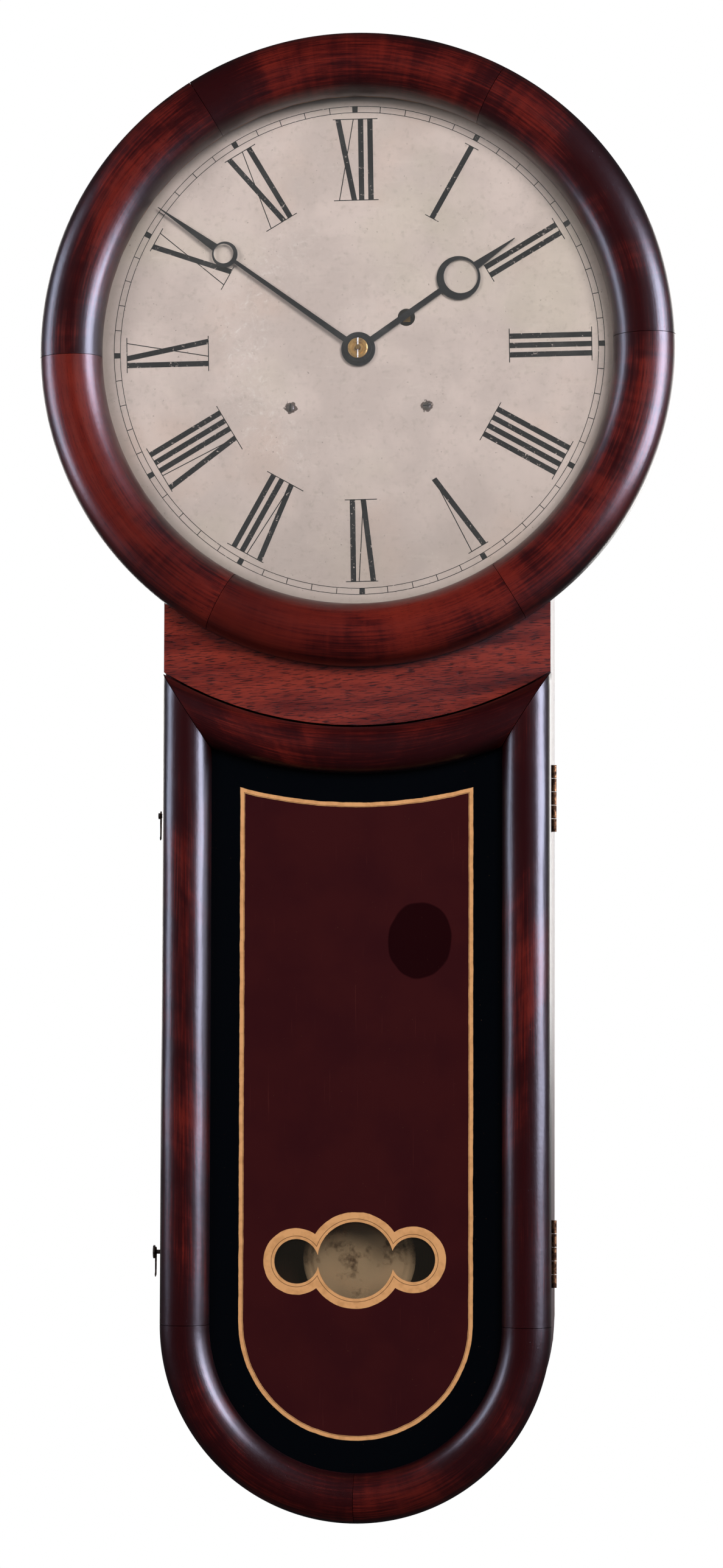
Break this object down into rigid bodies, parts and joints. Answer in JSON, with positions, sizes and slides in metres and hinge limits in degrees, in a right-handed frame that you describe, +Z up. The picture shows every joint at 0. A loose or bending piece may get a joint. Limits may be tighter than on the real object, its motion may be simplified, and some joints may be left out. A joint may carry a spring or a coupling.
{
  "type": "pendulum wall clock",
  "caption": "Round-headed, long-trunked weight-driven wall clock with a hinged half-round bezel, a painted dial, moon hands, a hinged trunk door with a painted tablet, and a swinging pendulum.",
  "frame": {"origin": "on the wall face of the back board, straight behind the hand arbor", "axes": "+Z up, the front faces -Y, +X to the right seen from the front"},
  "size_m": [0.3378, 0.1175, 0.7868],
  "materials": {
    "mahogany": "French polished crotch mahogany veneer, worn",
    "neck_mahogany": "straight-grained mahogany, thin polish",
    "pine": "unpolished pine, darkened with age",
    "rod_wood": "varnished straight-grained rod",
    "dial_paint": "aged off-white oil paint on sheet metal",
    "brass": "tarnished lacquered brass",
    "bob_brass": "tarnished pressed brass over lead",
    "blued_steel": "blue-black steel",
    "steel": "dull aged steel",
    "cast_iron": "rough black casting",
    "clear_glass": "old clear glass",
    "painted_glass": "reverse-painted black and maroon with gold lines",
    "cord": "twisted weight cord"
  },
  "bodies": {
    "case": {"back_board": "pine", "head_case": "mahogany", "side_left": "mahogany", "side_right": "mahogany", "bottom_bend": "mahogany", "neck_panel": "neck_mahogany", "weight_baffle": "pine", "hanger_plate": "steel", "dial": "dial_paint", "dial_screw_left": "steel", "dial_screw_right": "steel", "back_plate": "brass", "front_plate": "brass", "suspension_bridge": "brass", "hook_screw_upper": "steel", "hook_screw_lower": "steel", "cord_drum_run": "cord", "cord_fixed_run": "cord", "upper_hinge_case_leaf": "brass", "lower_hinge_case_leaf": "brass", "bezel_hinge_case_leaf": "brass"},
    "trunk_door": {"door_stile_left": "mahogany", "door_stile_right": "mahogany", "door_top_rail": "mahogany", "door_foot_left": "mahogany", "door_foot_right": "mahogany", "tablet_glass": "painted_glass", "tablet_bead": "pine", "upper_hinge_door_leaf": "brass", "lower_hinge_door_leaf": "brass"},
    "bezel": {"bezel_segment_1": "mahogany", "bezel_segment_2": "mahogany", "bezel_segment_3": "mahogany", "bezel_segment_4": "mahogany", "bezel_segment_5": "mahogany", "bezel_segment_6": "mahogany", "dial_glass": "clear_glass", "glass_bead": "pine", "bezel_hinge_leaf": "brass"},
    "upper_hook": {"hook_upper": "brass"},
    "lower_hook": {"hook_lower": "brass"},
    "minute_hand_arbor": {"centre_wheel": "brass", "cannon_pinion": "brass", "minute_hand": "blued_steel", "hand_collet": "brass", "taper_pin": "steel"},
    "hour_hand_pipe": {"hour_wheel": "brass", "hour_hand": "blued_steel"},
    "minute_wheel": {"minute_wheel": "brass"},
    "great_wheel": {"great_wheel": "brass"},
    "winding_drum": {"winding_drum": "brass"},
    "third_wheel": {"third_wheel": "brass"},
    "escape_wheel": {"escape_wheel": "brass"},
    "verge": {"verge": "steel"},
    "pendulum": {"suspension_spring": "steel", "pendulum_rod": "rod_wood", "pendulum_bob": "bob_brass", "rating_nut": "brass"},
    "weight": {"weight": "cast_iron"},
    "pulley": {"pulley": "brass"}
  },
  "joints": [
    {"name": "trunk_door_hinge", "type": "hinge", "parent": "case", "child": "trunk_door", "pos_m": [0.1041, -0.08585, -0.36], "axis": [0, 0, 1], "range_deg": [0, 115]},
    {"name": "bezel_hinge", "type": "hinge", "parent": "case", "child": "bezel", "pos_m": [0.1572, -0.0929, -0.002], "axis": [0, 0, 1], "range_deg": [0, 100]},
    {"name": "upper_hook_turn", "type": "hinge", "parent": "case", "child": "upper_hook", "pos_m": [-0.1028, -0.079, -0.2488], "axis": [1, 0, 0], "range_deg": [-105, 0]},
    {"name": "lower_hook_turn", "type": "hinge", "parent": "case", "child": "lower_hook", "pos_m": [-0.1028, -0.079, -0.4799], "axis": [1, 0, 0], "range_deg": [-105, 0]},
    {"name": "minute_hand_turn", "type": "hinge", "parent": "case", "child": "minute_hand_arbor", "pos_m": [0, -0.05, 0], "axis": [0, 1, 0], "continuous": true},
    {"name": "hour_hand_turn", "type": "hinge", "parent": "case", "child": "hour_hand_pipe", "pos_m": [0, -0.05, 0], "axis": [0, 1, 0], "continuous": true},
    {"name": "minute_wheel_turn", "type": "hinge", "parent": "case", "child": "minute_wheel", "pos_m": [-0.00764, -0.05, -0.00764], "axis": [0, 1, 0], "continuous": true},
    {"name": "great_wheel_turn", "type": "hinge", "parent": "case", "child": "great_wheel", "pos_m": [0.0255, -0.034, 0.0171], "axis": [0, 1, 0], "continuous": true},
    {"name": "third_wheel_turn", "type": "hinge", "parent": "case", "child": "third_wheel", "pos_m": [-0.00444, -0.03, 0.0195], "axis": [0, 1, 0], "continuous": true},
    {"name": "escape_wheel_turn", "type": "hinge", "parent": "case", "child": "escape_wheel", "pos_m": [0, -0.03, 0.039], "axis": [0, 1, 0], "continuous": true},
    {"name": "winding_turn", "type": "hinge", "parent": "case", "child": "winding_drum", "pos_m": [0.0255, -0.034, 0.0171], "axis": [0, 1, 0], "range_deg": [0, 4590]},
    {"name": "weight_rise", "type": "slide", "parent": "case", "child": "weight", "axis": [0, 0, 1], "range_m": [0, 0.3402], "deforming": ["cord_drum_run", "cord_fixed_run"]},
    {"name": "pulley_turn", "type": "hinge", "parent": "weight", "child": "pulley", "pos_m": [0.025, -0.0246, -0.406], "axis": [0, 1, 0], "range_deg": [-2300, 2300]},
    {"name": "pendulum_swing", "type": "hinge", "parent": "case", "child": "pendulum", "pos_m": [0, -0.06, 0.0617], "axis": [0, 1, 0], "range_deg": [-2.5, 2.5]},
    {"name": "verge_swing", "type": "hinge", "parent": "case", "child": "verge", "pos_m": [0, -0.04, 0.0617], "axis": [0, 1, 0], "range_deg": [-2.6, 2.6]}
  ],
  "couplings": [
    {"joint": "hour_hand_turn", "follows": "minute_hand_turn", "ratio": 0.083333},
    {"joint": "minute_wheel_turn", "follows": "minute_hand_turn", "ratio": -0.33333},
    {"joint": "great_wheel_turn", "follows": "minute_hand_turn", "ratio": -0.083333},
    {"joint": "third_wheel_turn", "follows": "minute_hand_turn", "ratio": -9},
    {"joint": "escape_wheel_turn", "follows": "minute_hand_turn", "ratio": 81},
    {"joint": "winding_turn", "follows": "weight_rise", "rad_per_m": 235.29},
    {"joint": "pulley_turn", "follows": "weight_rise", "rad_per_m": -110.6},
    {"joint": "verge_swing", "follows": "pendulum_swing", "ratio": 1}
  ]
}
